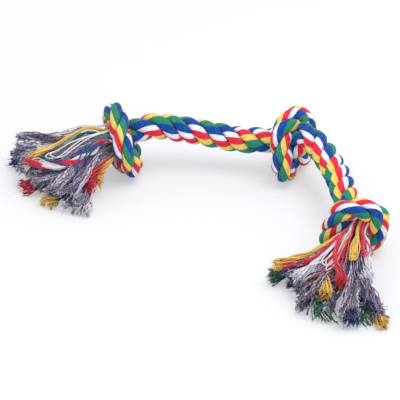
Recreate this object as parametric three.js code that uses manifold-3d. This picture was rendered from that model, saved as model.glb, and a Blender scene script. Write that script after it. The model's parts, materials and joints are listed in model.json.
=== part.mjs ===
// Rope dog toy: one three-strand cotton rope, tied in three overhand knots, with both ends unlaid into tassels.
// Millimetres, +Z up. The origin is under the middle of the toy's box, on the surface that the toy lies on.
import * as THREE from "three";
import { mergeVertices } from "three/addons/utils/BufferGeometryUtils.js";
import Module from "manifold-3d";

// Rope
const ROPE_DIAMETER = 20;
const LAY_LENGTH = 43; // rope length in which a strand goes once round
const LAY_START = 60; // how far round the rope its first strand starts, in degrees
const LAY_BEND = 0.3; // how much faster the strands turn where the rope bends
const STRAND_COUNT = 3;
const STRAND_GAP = 0.6; // air between two strands
const LOBE_CENTRE = 0.446; // a strand's centre and radius as shares of the rope's radius
const LOBE_RADIUS = 0.554;
const LOBE_POINTS = 6;
const RING_STEP = 5.2;

// Half of an overhand knot in rope diameters, from the middle of its front band to the rope's way out along +X.
// The other half is the same half, turned half round about Z.
const OVERHAND_HALF = [
  [0, 0, 0.80],
  [-0.62, 0.66, 0.74],
  [-1.12, 0.96, 0.30],
  [-1.28, 0.96, -0.48],
  [-1.28, 0.30, -1.06],
  [-0.58, -0.50, -1.14],
  [0.10, -0.62, -0.64],
  [0.52, -0.22, -0.22],
  [1.16, 0.12, -0.02],
];
const KNOT_ROPE = 0.96; // the rope's thickness inside a pulled knot, as a share of its own
const KNOT_TIGHT = 0.32; // the share of its loose length that the middle of a pulled knot keeps
const TIGHT_REACH = 1.5; // how far from its middle a knot is pulled together, in rope diameters
const BAND_ROUND = 0.55; // how much of its round the front band keeps, because nothing lies beside it
const BAND_REACH = [1, 3]; // from the band's middle to where it starts and stops being round, in rope diameters
const REST_CUT = ROPE_DIAMETER / 10; // depth of the flat that a knot stands on

// Where each knot lies, and how it is turned: heading, then pitch, then roll about the rope, in degrees.
const KNOTS = {
  left: { at: [-131, 9], heading: 2, pitch: 5, roll: 40, mirrored: false },
  middle: { at: [4, 4], heading: -22, pitch: 14, roll: 75, mirrored: true },
  right: { at: [51, -113], heading: -78, pitch: -6, roll: 72, mirrored: true },
};

// Points that the rope passes on its way between the knots and out of the end knots.
const LEFT_SPAN = [[-108, 11, 42.5], [-84, 13.5, 38.5], [-60, 13, 34], [-36, 11, 30]];
const RIGHT_SPAN = [[26, -16, 42], [35, -38, 40], [42, -62, 39.5]];
const LEFT_TAIL = [[-176, -7, 24], [-158, 1, 27]];
const RIGHT_TAIL = [[50, -142, 26], [47, -160, 20]];

// Joints: the rope bends sideways beside each knot and lifts half way along each span.
const BEND_OFFSET = 1.4; // from a knot's centre to the bend beside it, in rope diameters
const BEND_RANGE = 20; // each way, in degrees
const LIFT_RANGE = 35;
const JOINT_GAP = 0.5;
const JOINT_SPARE = 2; // degrees left over at the end of a bend
const RUN_ON = 0.35 * ROPE_DIAMETER; // how far a strand runs past its joint or its tassel before it is cut there
const CUT_REACH = 0.7 * ROPE_DIAMETER; // half the size of what is cut away at a joint

// Tassels: each strand's end comes apart into five colours of cover yarn and its grey core yarn.
const TASSEL_OFFSET = 0.9; // from an end knot's centre to the centre of the fan, in rope diameters
const TASSEL_FAN = 98; // degrees
const TASSEL_ROOM = 75; // degrees each way in which the strands' ends are rounded
const TASSEL_START = 0.65 * ROPE_DIAMETER; // from the fan's centre to the start of the locks
const TASSEL_NECK = 0.8 * ROPE_DIAMETER; // height of the fan where it starts
const TASSEL_DROP = 30; // length over which the locks come down to the surface
const TASSEL_FULL = 0.5; // share of the length at which the fan is as high as it gets
const TASSEL_THIN = [0.6, 0.35]; // share of the length where it starts to thin, and how much of its swell it loses
const TRIM_STEPS = 5; // the locks are cut to this many lengths
const TRIM_UNEVEN = 0.06; // from the longest to the shortest, as a share of the length
const TRIM_TOP = 0.05; // the top layer is shorter by this share
const LOCK_GAP = 0.7;
const LOCK_STEPS = 7;
const LOCK_SIDES = 8;
const TASSELS = {
  left: {
    heading: 213,
    lengths: [73, 68, 64, 66, 67, 64],
    height: 26,
    locks: [
      ["grey", "yellow", "grey", "white", "grey", "red"],
      ["white", "green", "red", "blue", "green", "yellow"],
      ["blue", "red", "yellow", "green", "blue", "white"],
    ],
  },
  right: {
    heading: 236,
    lengths: [67, 61, 66, 86, 92, 85],
    height: 26,
    locks: [
      ["yellow", "grey", "red", "grey", "white", "grey"],
      ["red", "white", "yellow", "blue", "red", "blue"],
      ["green", "blue", "green", "white", "yellow", "green"],
    ],
  },
};

const COLOURS = {
  strand: 0x7d6a62,
  blue: 0x0f4da0,
  green: 0x2f8a62,
  yellow: 0xf9d35c,
  red: 0xdf2a40,
  white: 0xf4f0f8,
  grey: 0x8a8792,
};
const COTTON_ROUGHNESS = 0.9;

const ROPE_RADIUS = ROPE_DIAMETER / 2;
const UP = new THREE.Vector3(0, 0, 1);
const radians = THREE.MathUtils.degToRad;
const smooth = THREE.MathUtils.smoothstep;
const vector = (point) => new THREE.Vector3(...point);

const wasm = await Module();
wasm.setup();

// Pulling a knot tight moves its points along the knot's own axis; lengths here are in rope diameters.
function tighten(x) {
  return x - (1 - KNOT_TIGHT) * TIGHT_REACH * Math.tanh(x / TIGHT_REACH);
}

function loosen(x) {
  let low = x - TIGHT_REACH;
  let high = x + TIGHT_REACH;
  for (let step = 0; step < 40; step += 1) {
    const middle = (low + high) / 2;
    if (tighten(middle) < x) low = middle;
    else high = middle;
  }
  return (low + high) / 2;
}

function placeKnot({ at, heading, pitch, roll, mirrored }) {
  const turn = new THREE.Matrix4().makeRotationFromEuler(
    new THREE.Euler(radians(roll), -radians(pitch), radians(heading), "ZYX"),
  );
  const side = mirrored ? -1 : 1;
  const backHalf = OVERHAND_HALF.slice(1).reverse().map(([x, y, z]) => [-x, -y, z]);
  const points = [...backHalf, ...OVERHAND_HALF].map(([x, y, z]) => (
    new THREE.Vector3(tighten(x), side * y, z).multiplyScalar(ROPE_DIAMETER).applyMatrix4(turn)
  ));
  const lowest = Math.min(...new THREE.CatmullRomCurve3(points).getPoints(240).map((point) => point.z));
  const centre = new THREE.Vector3(...at, KNOT_ROPE * ROPE_RADIUS - REST_CUT - lowest);
  const axis = new THREE.Vector3(1, 0, 0).applyMatrix4(turn);
  return { centre, axis, points: points.map((point) => point.add(centre)) };
}

const knots = {};
for (const [name, knot] of Object.entries(KNOTS)) knots[name] = placeKnot(knot);

// The rope's route as stations one millimetre apart, each with its own frame and the strands' turn there.
function makeStations() {
  const curve = new THREE.CatmullRomCurve3([
    ...LEFT_TAIL.map(vector),
    ...knots.left.points,
    ...LEFT_SPAN.map(vector),
    ...knots.middle.points,
    ...RIGHT_SPAN.map(vector),
    ...knots.right.points,
    ...RIGHT_TAIL.map(vector),
  ]);
  curve.arcLengthDivisions = 2400;
  const count = Math.round(curve.getLength());
  const points = curve.getSpacedPoints(count);
  const stations = points.map((point, i) => {
    const ahead = points[Math.min(i + 1, count)];
    const behind = points[Math.max(i - 1, 0)];
    const knot = Object.values(knots).reduce((near, other) => (
      point.distanceTo(other.centre) < point.distanceTo(near.centre) ? other : near
    ));
    const loose = loosen(point.clone().sub(knot.centre).dot(knot.axis) / ROPE_DIAMETER);
    const away = point.distanceTo(knot.centre) / ROPE_DIAMETER;
    const radius = ROPE_RADIUS * (KNOT_ROPE + (1 - KNOT_ROPE) * smooth(away, 1, 1.7));
    return { point, tangent: ahead.clone().sub(behind).normalize(), knot, loose, radius };
  });
  let turn = radians(LAY_START);
  let normal = UP.clone();
  stations.forEach((station, i) => {
    const next = stations[Math.min(i + 1, count)].tangent;
    const step = curve.getLength() / count;
    const bend = station.tangent.angleTo(next) / step;
    const slack = (tighten(station.loose + 0.01) - tighten(station.loose)) / 0.01;
    const along = station.tangent.dot(station.knot.axis);
    const looseTangent = station.tangent.clone().addScaledVector(station.knot.axis, along * (1 / slack - 1));
    looseTangent.normalize();
    normal = normal.clone().addScaledVector(looseTangent, -normal.dot(looseTangent)).normalize();
    station.normal = normal;
    station.across = looseTangent.clone().cross(normal);
    station.turn = turn;
    turn += (2 * Math.PI * step * (1 + LAY_BEND * ROPE_RADIUS * bend)) / LAY_LENGTH;
  });
  return stations;
}

const stations = makeStations();
const middleStation = {};
for (const [name, knot] of Object.entries(knots)) {
  middleStation[name] = nearestStation(knot.points[OVERHAND_HALF.length - 1]);
}
stations.forEach((station, i) => {
  const away = Math.min(...Object.values(middleStation).map((middle) => Math.abs(i - middle))) / ROPE_DIAMETER;
  station.pull = 1 - BAND_ROUND * (1 - smooth(away, ...BAND_REACH));
});

function nearestStation(point) {
  let best = 0;
  stations.forEach((station, i) => {
    if (station.point.distanceTo(point) < stations[best].point.distanceTo(point)) best = i;
  });
  return best;
}

// The last station on the way out of a knot (way +1 or -1) that is still within a distance of its centre.
function stationNear(name, way, distance) {
  const { centre } = knots[name];
  const limit = way > 0 ? stations.length - 1 : 0;
  const others = Object.keys(knots).filter((key) => key !== name).map((key) => middleStation[key]);
  let found = middleStation[name];
  for (let i = found; i !== limit + way && !others.includes(i); i += way) {
    if (stations[i].point.distanceTo(centre) < distance) found = i;
  }
  return found;
}

// A point of the rope's section, pulled along the knot's axis as far as the knot is tight there.
function sectionPoint(station, x, y) {
  const offset = station.normal.clone().multiplyScalar(x).addScaledVector(station.across, y);
  const along = offset.dot(station.knot.axis) / ROPE_DIAMETER;
  const pulled = tighten(station.loose + along) - tighten(station.loose);
  offset.addScaledVector(station.knot.axis, (pulled - along) * ROPE_DIAMETER * station.pull);
  return offset.add(station.point);
}

// One strand's outline in the rope's section: a third of the rope, round on the outside.
function strandOutline(radius) {
  const spread = STRAND_GAP / 2 / Math.sin(Math.PI / STRAND_COUNT);
  const outline = [[spread, 0]];
  for (let i = 0; i < LOBE_POINTS; i += 1) {
    const angle = (Math.PI / STRAND_COUNT) * (2 * i / (LOBE_POINTS - 1) - 1);
    const chord = Math.sqrt(LOBE_RADIUS ** 2 - (LOBE_CENTRE * Math.sin(angle)) ** 2);
    const reach = (radius - spread) * (LOBE_CENTRE * Math.cos(angle) + chord);
    outline.push([spread + reach * Math.cos(angle), reach * Math.sin(angle)]);
  }
  return outline;
}

// A closed solid through rings of points. The last side takes the other diagonal, so that the facing sides of
// two strands are split alike and keep their gap.
function solidThroughRings(rings, flipLast) {
  const sides = rings[0].length;
  const positions = rings.flat().flatMap((point) => point.toArray());
  const triangles = [];
  for (let i = 0; i + 1 < rings.length; i += 1) {
    for (let j = 0; j < sides; j += 1) {
      const next = (j + 1) % sides;
      const [a, b] = [i * sides + j, i * sides + next];
      const [c, d] = [a + sides, b + sides];
      if (flipLast && next === 0) triangles.push(a, b, c, b, d, c);
      else triangles.push(a, b, d, a, d, c);
    }
  }
  const last = (rings.length - 1) * sides;
  for (let j = 1; j + 1 < sides; j += 1) {
    triangles.push(0, j + 1, j);
    triangles.push(last, last + j, last + j + 1);
  }
  const geometry = new THREE.BufferGeometry();
  geometry.setAttribute("position", new THREE.Float32BufferAttribute(positions, 3));
  geometry.setIndex(triangles);
  return geometry;
}

function strandBetween(first, last, strand) {
  const count = Math.max(2, Math.ceil((last - first) / RING_STEP));
  const rings = [];
  for (let i = 0; i <= count; i += 1) {
    const station = stations[Math.round(first + ((last - first) * i) / count)];
    const turn = station.turn + (2 * Math.PI * strand) / STRAND_COUNT;
    const [cos, sin] = [Math.cos(turn), Math.sin(turn)];
    rings.push(strandOutline(station.radius).map(([x, y]) => (
      sectionPoint(station, x * cos - y * sin, x * sin + y * cos)
    )));
  }
  return solidThroughRings(rings, true);
}

// Booleans
function toManifold(geometry) {
  const plain = geometry.clone();
  plain.deleteAttribute("normal");
  plain.deleteAttribute("uv");
  const merged = mergeVertices(plain, 1e-4);
  return new wasm.Manifold(new wasm.Mesh({
    numProp: 3,
    vertProperties: new Float32Array(merged.attributes.position.array),
    triVerts: new Uint32Array(merged.index.array),
  }));
}

function fromManifold(manifold) {
  const mesh = manifold.getMesh();
  const geometry = new THREE.BufferGeometry();
  geometry.setAttribute("position", new THREE.Float32BufferAttribute(mesh.vertProperties, 3));
  geometry.setIndex(Array.from(mesh.triVerts));
  return geometry;
}

function cutAway(geometry, cutters) {
  let result = toManifold(geometry);
  for (const cutter of cutters) result = result.subtract(toManifold(cutter));
  return fromManifold(result);
}

// The wedge that is cut off a piece beyond its joint, so that the two pieces meet in a blunt edge on the hinge
// line and can turn on it.
function jointCutter(joint, into) {
  const slope = Math.tan(radians(joint.range / 2 + JOINT_SPARE));
  const outline = new THREE.Shape();
  outline.moveTo(JOINT_GAP / 2, 0);
  outline.lineTo(JOINT_GAP / 2 + CUT_REACH * slope, CUT_REACH);
  outline.lineTo(-CUT_REACH, CUT_REACH);
  outline.lineTo(-CUT_REACH, -CUT_REACH);
  outline.lineTo(JOINT_GAP / 2 + CUT_REACH * slope, -CUT_REACH);
  const geometry = new THREE.ExtrudeGeometry(outline, { depth: 2 * CUT_REACH, bevelEnabled: false });
  geometry.translate(0, 0, -CUT_REACH);
  const forward = joint.tangent.clone().multiplyScalar(into);
  const across = joint.axis.clone().cross(forward).normalize();
  geometry.applyMatrix4(new THREE.Matrix4().makeBasis(forward, across, joint.axis));
  return geometry.translate(...joint.point.toArray());
}

const ropeLength = stations.length; // they are one millimetre apart
const floorCutter = new THREE.BoxGeometry(2 * ropeLength, 2 * ropeLength, ROPE_DIAMETER);
floorCutter.translate(0, 0, -ROPE_RADIUS);

// The strands end round the centre of the tassel's fan, so that the fan can swing past them.
function fanCutter(side) {
  const inner = TASSEL_START - LOCK_GAP;
  const outer = TASSEL_START + ROPE_DIAMETER;
  const sweep = radians(TASSEL_ROOM);
  const outline = new THREE.Shape();
  outline.absarc(0, 0, inner, -sweep, sweep, false);
  outline.absarc(0, 0, outer, sweep, -sweep, true);
  const tall = 4 * ROPE_DIAMETER;
  const geometry = new THREE.ExtrudeGeometry(outline, { depth: tall, bevelEnabled: false, curveSegments: 16 });
  const { x, y } = stations[ends[side]].point;
  return geometry.rotateZ(radians(TASSELS[side].heading)).translate(x, y, -ROPE_RADIUS);
}

// Joints along the rope: a bend turns about the upright, a lift about a level line across the rope.
function makeJoint(index, kind) {
  const { point, tangent } = stations[index];
  const level = new THREE.Vector3(tangent.x, tangent.y, 0).normalize();
  const across = UP.clone().cross(level);
  const lift = kind === "lift";
  return {
    index,
    point,
    tangent: lift ? tangent.clone().normalize() : level,
    axis: lift ? across : UP.clone(),
    range: lift ? LIFT_RANGE : BEND_RANGE,
  };
}

const bendDistance = BEND_OFFSET * ROPE_DIAMETER;
const ends = {
  left: stationNear("left", -1, TASSEL_OFFSET * ROPE_DIAMETER),
  right: stationNear("right", 1, TASSEL_OFFSET * ROPE_DIAMETER),
};
const bends = {
  leftOuter: makeJoint(stationNear("left", 1, bendDistance), "bend"),
  leftInner: makeJoint(stationNear("middle", -1, bendDistance), "bend"),
  rightInner: makeJoint(stationNear("middle", 1, bendDistance), "bend"),
  rightOuter: makeJoint(stationNear("right", -1, bendDistance), "bend"),
};
const lifts = {
  left: makeJoint(Math.round((bends.leftOuter.index + bends.leftInner.index) / 2), "lift"),
  right: makeJoint(Math.round((bends.rightOuter.index + bends.rightInner.index) / 2), "lift"),
};

function cottonMesh(name, geometry, colour) {
  geometry.computeVertexNormals();
  const material = new THREE.MeshStandardMaterial({
    color: COLOURS[colour],
    roughness: COTTON_ROUGHNESS,
    metalness: 0,
  });
  const mesh = new THREE.Mesh(geometry, material);
  mesh.name = name;
  return mesh;
}

// The strands of one stretch of rope, from a station to a station, with what is cut off them.
function ropeStretch(name, first, last, cutters) {
  const meshes = [];
  for (let strand = 0; strand < STRAND_COUNT; strand += 1) {
    const geometry = cutAway(strandBetween(first, last, strand), cutters);
    meshes.push(cottonMesh(`${name}_strand_${strand + 1}`, geometry, "strand"));
  }
  return meshes;
}

// A stretch between two joints; its strands run on past the joints before they are cut.
function ropeBetween(name, start, end, cutters = []) {
  const past = Math.round(RUN_ON);
  return ropeStretch(name, start.index - past, end.index + past, [
    jointCutter(start, 1),
    jointCutter(end, -1),
    ...cutters,
  ]);
}

// An end knot runs from its joint to the centre of its tassel.
function endKnot(side, joint, way) {
  const tip = ends[side] + way * Math.round(TASSEL_START + RUN_ON);
  const start = joint.index - way * Math.round(RUN_ON);
  const [first, last] = [tip, start].sort((a, b) => a - b);
  return ropeStretch(`${side}_knot`, first, last, [jointCutter(joint, way), fanCutter(side), floorCutter]);
}

// One lock of yarn: it fills its own cell of the fan, which is divided by angle and by height.
function lockRings(fan, column, layer, length) {
  const { centre, heading, height, lengths, locks } = fan;
  const width = radians(TASSEL_FAN) / locks[0].length;
  const bearing = radians(heading) + (column - (locks[0].length - 1) / 2) * width;
  const rings = [];
  for (let i = 0; i <= LOCK_STEPS; i += 1) {
    const away = TASSEL_START + ((length - TASSEL_START) * i) / LOCK_STEPS;
    const down = smooth(away, TASSEL_START, TASSEL_START + TASSEL_DROP);
    const swell = smooth(away, TASSEL_START, lengths[column] * TASSEL_FULL);
    const thin = TASSEL_THIN[1] * smooth(away, lengths[column] * TASSEL_THIN[0], lengths[column]);
    const stack = TASSEL_NECK + (height - TASSEL_NECK) * (swell - thin);
    const foot = Math.max(0, (centre.z - stack / 2) * (1 - down));
    const tall = stack / locks.length;
    const half = [(away * width - LOCK_GAP) / 2, (tall - LOCK_GAP) / 2];
    const ring = [];
    for (let j = 0; j < LOCK_SIDES; j += 1) {
      const angle = (2 * Math.PI * (j + 0.5)) / LOCK_SIDES;
      const side = half[0] * Math.cos(angle);
      const rise = foot + tall * (layer + 0.5) + (half[1] * Math.sin(angle)) / Math.cos(Math.PI / LOCK_SIDES);
      const turned = bearing + side / away;
      ring.push(new THREE.Vector3(
        centre.x + away * Math.cos(turned),
        centre.y + away * Math.sin(turned),
        rise,
      ));
    }
    rings.push(ring);
  }
  return rings;
}

function tassel(side) {
  const { heading, lengths, height, locks } = TASSELS[side];
  const fan = { centre: stations[ends[side]].point, heading, height, lengths, locks };
  const perStrand = locks[0].length / STRAND_COUNT;
  const meshes = [];
  locks.forEach((row, fromTop) => {
    row.forEach((colour, column) => {
      const layer = locks.length - 1 - fromTop;
      const strand = Math.floor(column / perStrand) + 1;
      const step = (column * 2 + fromTop * 3) % TRIM_STEPS;
      const top = fromTop === 0 ? TRIM_TOP : 0;
      const trimmed = lengths[column] * (1 - (TRIM_UNEVEN * step) / (TRIM_STEPS - 1) - top);
      const geometry = solidThroughRings(lockRings(fan, column, layer, trimmed), false);
      meshes.push(cottonMesh(`${side}_tassel_strand_${strand}_${colour}_yarn`, geometry, colour));
    });
  });
  return meshes;
}

// Each moving length of rope is a group whose own origin is on its joint.
function movingGroup(name, pivot, meshes) {
  const group = new THREE.Group();
  group.name = name;
  group.position.copy(pivot);
  for (const mesh of meshes) {
    mesh.geometry.translate(-pivot.x, -pivot.y, -pivot.z);
    group.add(mesh);
  }
  return group;
}

function attach(parent, child) {
  let above = parent;
  while (above) {
    child.position.sub(above.position);
    above = above.parent;
  }
  parent.add(child);
  return child;
}

const toy = movingGroup(
  "rope_toy",
  new THREE.Vector3(),
  ropeBetween("middle_knot", bends.leftInner, bends.rightInner, [floorCutter]),
);

const leftNear = attach(toy, movingGroup(
  "left_rope_near",
  bends.leftInner.point,
  ropeBetween("left_rope_near", lifts.left, bends.leftInner),
));
const leftFar = attach(leftNear, movingGroup(
  "left_rope_far",
  lifts.left.point,
  ropeBetween("left_rope_far", bends.leftOuter, lifts.left),
));
const leftKnot = attach(leftFar, movingGroup(
  "left_knot",
  bends.leftOuter.point,
  endKnot("left", bends.leftOuter, -1),
));
attach(leftKnot, movingGroup("left_tassel", stations[ends.left].point, tassel("left")));

const rightNear = attach(toy, movingGroup(
  "right_rope_near",
  bends.rightInner.point,
  ropeBetween("right_rope_near", bends.rightInner, lifts.right),
));
const rightFar = attach(rightNear, movingGroup(
  "right_rope_far",
  lifts.right.point,
  ropeBetween("right_rope_far", lifts.right, bends.rightOuter),
));
const rightKnot = attach(rightFar, movingGroup(
  "right_knot",
  bends.rightOuter.point,
  endKnot("right", bends.rightOuter, 1),
));
attach(rightKnot, movingGroup("right_tassel", stations[ends.right].point, tassel("right")));

// The rope's least clearance to itself inside the knots, measured between the outlines of its stations.
function leastClearance() {
  const points = 12;
  const step = 3;
  const apart = Math.round((1.8 * ROPE_DIAMETER) / step); // stations nearer along the rope are the same bend
  let least = Infinity;
  const ring = (station) => Array.from({ length: points }, (_, j) => sectionPoint(
    station,
    station.radius * Math.cos((2 * Math.PI * j) / points),
    station.radius * Math.sin((2 * Math.PI * j) / points),
  ));
  const rings = stations.filter((_, i) => i % step === 0).map(ring);
  rings.forEach((one, i) => {
    for (let k = i + apart; k < rings.length; k += 1) {
      if (one[0].distanceTo(rings[k][0]) > 3 * ROPE_DIAMETER) continue;
      for (const a of one) for (const b of rings[k]) least = Math.min(least, a.distanceTo(b));
    }
  });
  return least;
}
console.log(`rope's least clearance to itself: ${leastClearance().toFixed(2)} mm`);

// The toy's box stands centred on the origin.
toy.updateMatrixWorld(true);
const box = new THREE.Box3().setFromObject(toy);
toy.position.set(-(box.min.x + box.max.x) / 2, -(box.min.y + box.max.y) / 2, -box.min.z);

export default toy;
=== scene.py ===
"""Rope dog toy: striped laid cotton rope, three knots and two frayed tassels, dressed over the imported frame."""

import json
import math

import bpy
import numpy as np
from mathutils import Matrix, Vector


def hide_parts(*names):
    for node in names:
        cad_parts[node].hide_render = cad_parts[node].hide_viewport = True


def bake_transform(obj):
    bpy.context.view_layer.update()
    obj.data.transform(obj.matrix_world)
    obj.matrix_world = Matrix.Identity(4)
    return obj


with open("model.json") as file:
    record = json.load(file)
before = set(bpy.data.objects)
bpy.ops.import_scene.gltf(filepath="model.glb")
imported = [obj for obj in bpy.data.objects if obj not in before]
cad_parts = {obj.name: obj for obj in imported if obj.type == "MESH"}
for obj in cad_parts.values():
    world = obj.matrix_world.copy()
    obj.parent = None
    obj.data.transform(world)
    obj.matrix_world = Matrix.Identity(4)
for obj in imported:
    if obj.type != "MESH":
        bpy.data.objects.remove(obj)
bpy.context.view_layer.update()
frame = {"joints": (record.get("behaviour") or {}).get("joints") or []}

bl_info = {
    "name": "Rope Dog Toy",
    "version": (1, 0, 0),
    "blender": (4, 5, 0),
    "location": "View3D > Sidebar > Rope Toy",
    "description": "Lays, knots and frays a striped cotton rope toy on a pale floor",
    "category": "Object",
}

JOINTS = {joint["name"]: np.array(joint["pos_m"]) for joint in frame["joints"]}

# The rope's route, as in the part but with its knots pulled tighter: the knot in rope diameters, the rest in metres
# before the shift to the frame.
ROPE_DIAMETER = 0.020
ROPE_RADIUS = ROPE_DIAMETER / 2
STATION = 0.001
SPLINE_STEPS = 40
FRAME_SHIFT = (0.067754, 0.090187, 0)
OVERHAND_HALF = (
    (0, 0, 0.80), (-0.62, 0.66, 0.74), (-1.12, 0.96, 0.30), (-1.28, 0.96, -0.48), (-1.28, 0.30, -1.06),
    (-0.58, -0.50, -1.14), (0.10, -0.62, -0.64), (0.52, -0.22, -0.22), (1.16, 0.12, -0.02),
)
KNOT_TIGHT = 0.06
TIGHT_REACH = 1.5
KNOT_LOWEST = 0.96 * ROPE_RADIUS - 0.1 * ROPE_DIAMETER  # height of the rope's middle where a knot rests
KNOTS = {
    "left": {"at": (-0.131, 0.009), "heading": 2, "pitch": 5, "roll": 38, "side": 1, "size": (1, 1), "rope": 0.97},
    "middle": {
        "at": (0.004, 0.004), "heading": -22, "pitch": 14, "roll": 75, "side": -1, "size": (1, 1.03), "rope": 0.97},
    "right": {
        "at": (0.051, -0.113), "heading": -78, "pitch": -6, "roll": 72, "side": -1, "size": (1.03, 0.86), "rope": 0.9},
}
LEFT_TAIL = ((-0.176, -0.007, 0.024), (-0.158, 0.001, 0.027))
LEFT_SPAN = ((-0.108, 0.011, 0.0425), (-0.084, 0.0135, 0.0385), (-0.060, 0.013, 0.034), (-0.036, 0.011, 0.030))
RIGHT_SPAN = ((0.016, -0.005, 0.045), (0.026, -0.017, 0.042), (0.035, -0.038, 0.040), (0.042, -0.062, 0.0395))
RIGHT_TAIL = ((0.050, -0.142, 0.026), (0.047, -0.160, 0.020))

# How the three strands lie in the rope, in rope radii, and where the lay and the stripes are eased along it.
STRANDS = 3
STRAND_HIGH = 0.53
STRAND_WIDE = 0.60
STRAND_PRESS = 9  # the higher, the sharper a strand's corners beside its neighbours
STRAND_SIDES = 44
KNOT_REACH = (1, 1.7)  # rope diameters from a knot's middle over which its pull on the rope fades
KNOT_SQUEEZE = 0.18
KNOT_LAY = 0.82  # how fast strands turn inside a knot, as a share of their turn in the spans
FLOOR_SOFT = 0.0012  # height over which rope that would be under the floor flattens on to it
END_SHORT = 0.010  # how far before the middle of a tassel's fan the strands end
END_THIN = 0.42  # share of its radius that the rope loses there, where it opens into yarn
END_TAPER = 0.016
STRIPES_PER_TURN = 2.24  # times the five colours come round as a strand goes once round the rope
STRIPE_PERIMETER = 2.77
# At a knot or a joint: how far the lay is ahead, in turns, and how far the stripes of each strand are.
EASE = {
    "left": (0.01, 0.21, 0.49, 0.10),
    "left_lift": (0.16, 0.10, 0.27, -0.01),
    "left_bend_inner": (0.15, 0.20, 0.37, 0.09),
    "middle": (0.32, 0.26, 0.55, -0.36),
    "right_bend_inner": (0.14, 0.83, 0.75, 0.47),
    "right_lift": (0.04, 0.61, 0.62, 0.31),
    "right": (0.04, 0.60, 1.10, 0.27),
}
# Each stretch of rope lies from one body to the next. It has a name, the joint that lies within it and the nodes it
# shows.
STRETCHES = (
    ("left_end", "left_bend_outer", ("left_knot",)),
    ("left_span", "left_lift", ("left_rope_far", "left_rope_near")),
    ("middle_left", "left_bend_inner", ("middle_knot",)),
    ("middle_right", "right_bend_inner", ("middle_knot",)),
    ("right_span", "right_lift", ("right_rope_near", "right_rope_far")),
    ("right_end", "right_bend_outer", ("right_knot",)),
)

# The stage: where the view is aimed before the shift, and where the lamp is from there.
AIM = (-0.068, -0.032, 0)
LAMP_FROM_AIM = (0.35, -0.3, 1.3)
LAMP_SIZE = 0.9
SKY_COLOUR = (0.97, 0.98, 1, 1)
SENSOR_WIDTH = 36
FLOOR_HALF = 4.0
FLOOR_GLOW = 0.4  # share of the floor that the camera sees as plain white

# The tassels' cells, as the part has them. Rows of locks go from the top down, columns with the bearing.
TASSEL_FAN = math.radians(98)
TASSEL_START = 0.013
TASSEL_ROOT = 0.020
TASSEL_WIDE = 0.006
TASSEL_EASE = 0.012
TASSEL_NECK = 0.016
TASSEL_HEIGHT = 0.026
TASSEL_DROP = 0.030
TASSEL_FULL = 0.5  # share of its length at which a stack is highest
THIN_FROM, THIN_BY = 0.6, 0.35  # share of its length from which a stack thins, and by how much
TAIL_STATIONS = 40

# The yarn in the tassels.
LOCK_NECK = 0.001
LOCK_RINGS, CORE_RINGS, LOOP_RINGS, FIBRE_RINGS = 26, 34, 36, 5
YARN_SIDES, LOOP_SIDES, FIBRE_SIDES = 5, 6, 4
LOCK_FIBRES, CORE_FIBRES = 4, 3  # fibres that an end comes apart into
TWINE_RADIUS = 0.0017
TWINE_PITCH = 0.024
YARN_PITCH = 0.0024
YARN_PERIMETER = 0.0026
LOOP_THICK = 1.25  # thickness of a yarn in a loop, in cover yarns
STRAY_SHARE = 0.1  # share of a lock's yarns that stray from it
STRAY_FLUTTER = 3.5
FLUTTER_WAVES, CRIMP_WAVES = (1, 3), (7, 12)  # waves in the length of a yarn
LOCK_WANDER, CORE_SWAY, CORE_WANDER = 0.25, 0.2, 0.06  # how far a lock, a tuft and its yarns bend aside, in columns
CORE_LEAN, CORE_EDGE = 0.95, 0.4  # how far tufts lie from their column and past the outer ones, in columns
TONE_SPREAD = 0.36  # how far a grey yarn is from the tone of its tuft
GREY_SHARE = 0.9  # yarns drawn above this are of one bright colour, below it grey from dark to light
# What a cover colour is multiplied by in its most faded yarns.
FADED = {"yellow": (0.78, 0.68, 0.62, 1), "green": (0.4, 0.42, 0.45, 1), "blue": (0.4, 0.42, 0.45, 1)}
FADED_OTHERS = (0.8, 0.8, 0.82, 1)
BLEACHED = (0.9, 0.88, 0.86, 1)
ROPE_LINT, YARN_LINT = (0.82, 0.81, 0.84, 1), (0.8, 0.79, 0.82, 1)

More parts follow.
